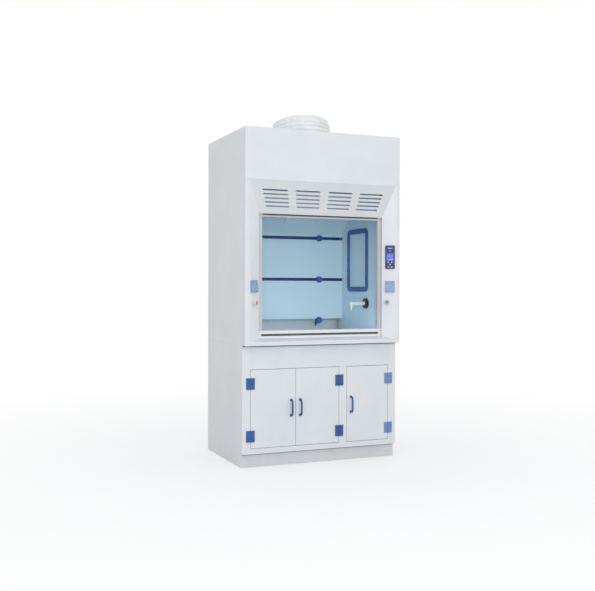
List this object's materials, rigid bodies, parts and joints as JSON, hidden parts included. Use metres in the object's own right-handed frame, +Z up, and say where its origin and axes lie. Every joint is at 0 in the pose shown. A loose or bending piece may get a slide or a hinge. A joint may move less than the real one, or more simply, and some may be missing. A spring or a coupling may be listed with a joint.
{
  "type": "ducted fume hood",
  "caption": "Free-standing ducted fume hood in white plastic sheet: vertical glass sash, bypass vents, baffled work chamber, side services and a base cabinet with hinged doors.",
  "frame": {"origin": "on the floor, under the middle of the footprint", "axes": "+X to the user's right, -Y towards the user, +Z up"},
  "size_m": [1.2, 0.8642, 2.5329],
  "materials": {
    "pp_white": "smooth satin polypropylene sheet, welded",
    "worktop_white": "satin polypropylene",
    "track_grey": "satin extruded plastic",
    "blue_plastic": "moulded blue plastic",
    "socket_blue": "pale steel-blue moulded plastic",
    "panel_blue": "navy moulded plastic",
    "screen": "lit blue liquid crystal window",
    "key_white": "white rubbery key caps",
    "tinted_glass": "pale blue tinted toughened glass",
    "lamp_lens": "white diffuser",
    "duct_film": "silvery white corrugated film",
    "waste_grey": "grey moulded plastic",
    "knob_amber": "pale grip with an amber end disc",
    "knob_dark": "dark grey with a pale centre",
    "valve_brass": "machined brass and pipe",
    "outlet_mixed": "white arm on a black wall flange",
    "weight_steel": "painted grey",
    "bracket_steel": "grey paint",
    "pulley_nylon": "natural nylon",
    "cable_steel": "stranded stainless cable",
    "motor_shell": "dark grey paint",
    "impeller_black": "black moulded plastic"
  },
  "bodies": {
    "hood": {"base_sides": "pp_white", "base_back": "pp_white", "base_floor": "pp_white", "base_plinth": "pp_white", "base_divider": "pp_white", "base_face_frame": "pp_white", "hood_sides": "pp_white", "hood_back": "pp_white", "hood_top": "pp_white", "hood_fascia": "pp_white", "front_posts": "pp_white", "vent_panel": "pp_white", "front_sill": "pp_white", "chamber_liners": "pp_white", "chamber_ceiling": "pp_white", "baffle_panels": "pp_white", "fan_casing": "pp_white", "exhaust_collar": "pp_white", "access_covers": "pp_white", "worktop": "worktop_white", "cup_sink": "worktop_white", "sash_tracks": "track_grey", "hinge_frame_leaves": "blue_plastic", "baffle_clamps": "blue_plastic", "access_frames": "blue_plastic", "socket_boxes": "socket_blue", "control_panel": "panel_blue", "display_screen": "screen", "lamp": "lamp_lens", "exhaust_duct": "duct_film", "drain_trap": "waste_grey", "service_valves": "valve_brass", "service_outlets": "outlet_mixed", "pulley_brackets": "bracket_steel", "sash_cables": "cable_steel", "fan_motor": "motor_shell"},
    "sash": {"sash_glass": "tinted_glass", "sash_frame": "pp_white", "sash_lift_rail": "pp_white"},
    "counterweights": {"counterweights": "weight_steel"},
    "cable_pulleys": {"cable_pulleys": "pulley_nylon"},
    "socket_cover_left": {"socket_cover_left": "socket_blue"},
    "socket_cover_right": {"socket_cover_right": "socket_blue"},
    "gas_knob": {"gas_knob": "knob_amber"},
    "water_knob": {"water_knob": "knob_dark"},
    "fan_impeller": {"fan_impeller": "impeller_black"},
    "door_left": {"door_left": "pp_white", "handle_left": "blue_plastic", "hinge_leaves_left": "blue_plastic"},
    "door_middle": {"door_middle": "pp_white", "handle_middle": "blue_plastic", "hinge_leaves_middle": "blue_plastic"},
    "door_right": {"door_right": "pp_white", "handle_right": "blue_plastic", "hinge_leaves_right": "blue_plastic"},
    "key_fan_up": {"key_fan_up": "key_white"},
    "key_fan_down": {"key_fan_down": "key_white"},
    "key_power": {"key_power": "key_white"},
    "key_lamp": {"key_lamp": "key_white"},
    "key_socket": {"key_socket": "key_white"}
  },
  "joints": [
    {"name": "sash_slide", "type": "slide", "parent": "hood", "child": "sash", "axis": [0, 0, 1], "range_m": [0, 0.54], "deforming": ["sash_cables"]},
    {"name": "counterweight_slide", "type": "slide", "parent": "hood", "child": "counterweights", "axis": [0, 0, 1], "range_m": [-0.54, 0]},
    {"name": "pulley_spin", "type": "hinge", "parent": "hood", "child": "cable_pulleys", "pos_m": [0, -0.2865, 2.24], "axis": [1, 0, 0], "range_deg": [-516, 0]},
    {"name": "door_left_hinge", "type": "hinge", "parent": "hood", "child": "door_left", "pos_m": [-0.54, -0.3719, 0.405], "axis": [0, 0, -1], "range_deg": [0, 110]},
    {"name": "door_middle_hinge", "type": "hinge", "parent": "hood", "child": "door_middle", "pos_m": [0.14, -0.3719, 0.405], "axis": [0, 0, 1], "range_deg": [0, 110]},
    {"name": "door_right_hinge", "type": "hinge", "parent": "hood", "child": "door_right", "pos_m": [0.54, -0.3719, 0.405], "axis": [0, 0, 1], "range_deg": [0, 110]},
    {"name": "socket_cover_left_hinge", "type": "hinge", "parent": "hood", "child": "socket_cover_left", "pos_m": [-0.52816, -0.41046, 1.296], "axis": [-0.852, -0.5235, 0], "range_deg": [0, 100]},
    {"name": "socket_cover_right_hinge", "type": "hinge", "parent": "hood", "child": "socket_cover_right", "pos_m": [0.52816, -0.41046, 1.296], "axis": [-0.852, 0.5235, 0], "range_deg": [0, 100]},
    {"name": "gas_knob_turn", "type": "hinge", "parent": "hood", "child": "gas_knob", "pos_m": [-0.52392, -0.41736, 1.145], "axis": [0.5235, -0.852, 0], "range_deg": [0, 90]},
    {"name": "water_knob_turn", "type": "hinge", "parent": "hood", "child": "water_knob", "pos_m": [0.50773, -0.40742, 1.145], "axis": [-0.5235, -0.852, 0], "range_deg": [0, 270]},
    {"name": "fan_spin", "type": "hinge", "parent": "hood", "child": "fan_impeller", "pos_m": [0.04, 0.185, 2.15], "axis": [0, 0, 1], "continuous": true},
    {"name": "key_fan_up_press", "type": "slide", "parent": "hood", "child": "key_fan_up", "axis": [0.5235, 0.852, 0], "range_m": [0, 0.001], "stiffness_N_per_m": 400, "springref_m": -0.001},
    {"name": "key_fan_down_press", "type": "slide", "parent": "hood", "child": "key_fan_down", "axis": [0.5235, 0.852, 0], "range_m": [0, 0.001], "stiffness_N_per_m": 400, "springref_m": -0.001},
    {"name": "key_power_press", "type": "slide", "parent": "hood", "child": "key_power", "axis": [0.5235, 0.852, 0], "range_m": [0, 0.001], "stiffness_N_per_m": 400, "springref_m": -0.001},
    {"name": "key_lamp_press", "type": "slide", "parent": "hood", "child": "key_lamp", "axis": [0.5235, 0.852, 0], "range_m": [0, 0.001], "stiffness_N_per_m": 400, "springref_m": -0.001},
    {"name": "key_socket_press", "type": "slide", "parent": "hood", "child": "key_socket", "axis": [0.5235, 0.852, 0], "range_m": [0, 0.001], "stiffness_N_per_m": 400, "springref_m": -0.001}
  ],
  "couplings": [
    {"joint": "counterweight_slide", "follows": "sash_slide", "ratio": -1},
    {"joint": "pulley_spin", "follows": "sash_slide", "rad_per_m": -16.667}
  ]
}
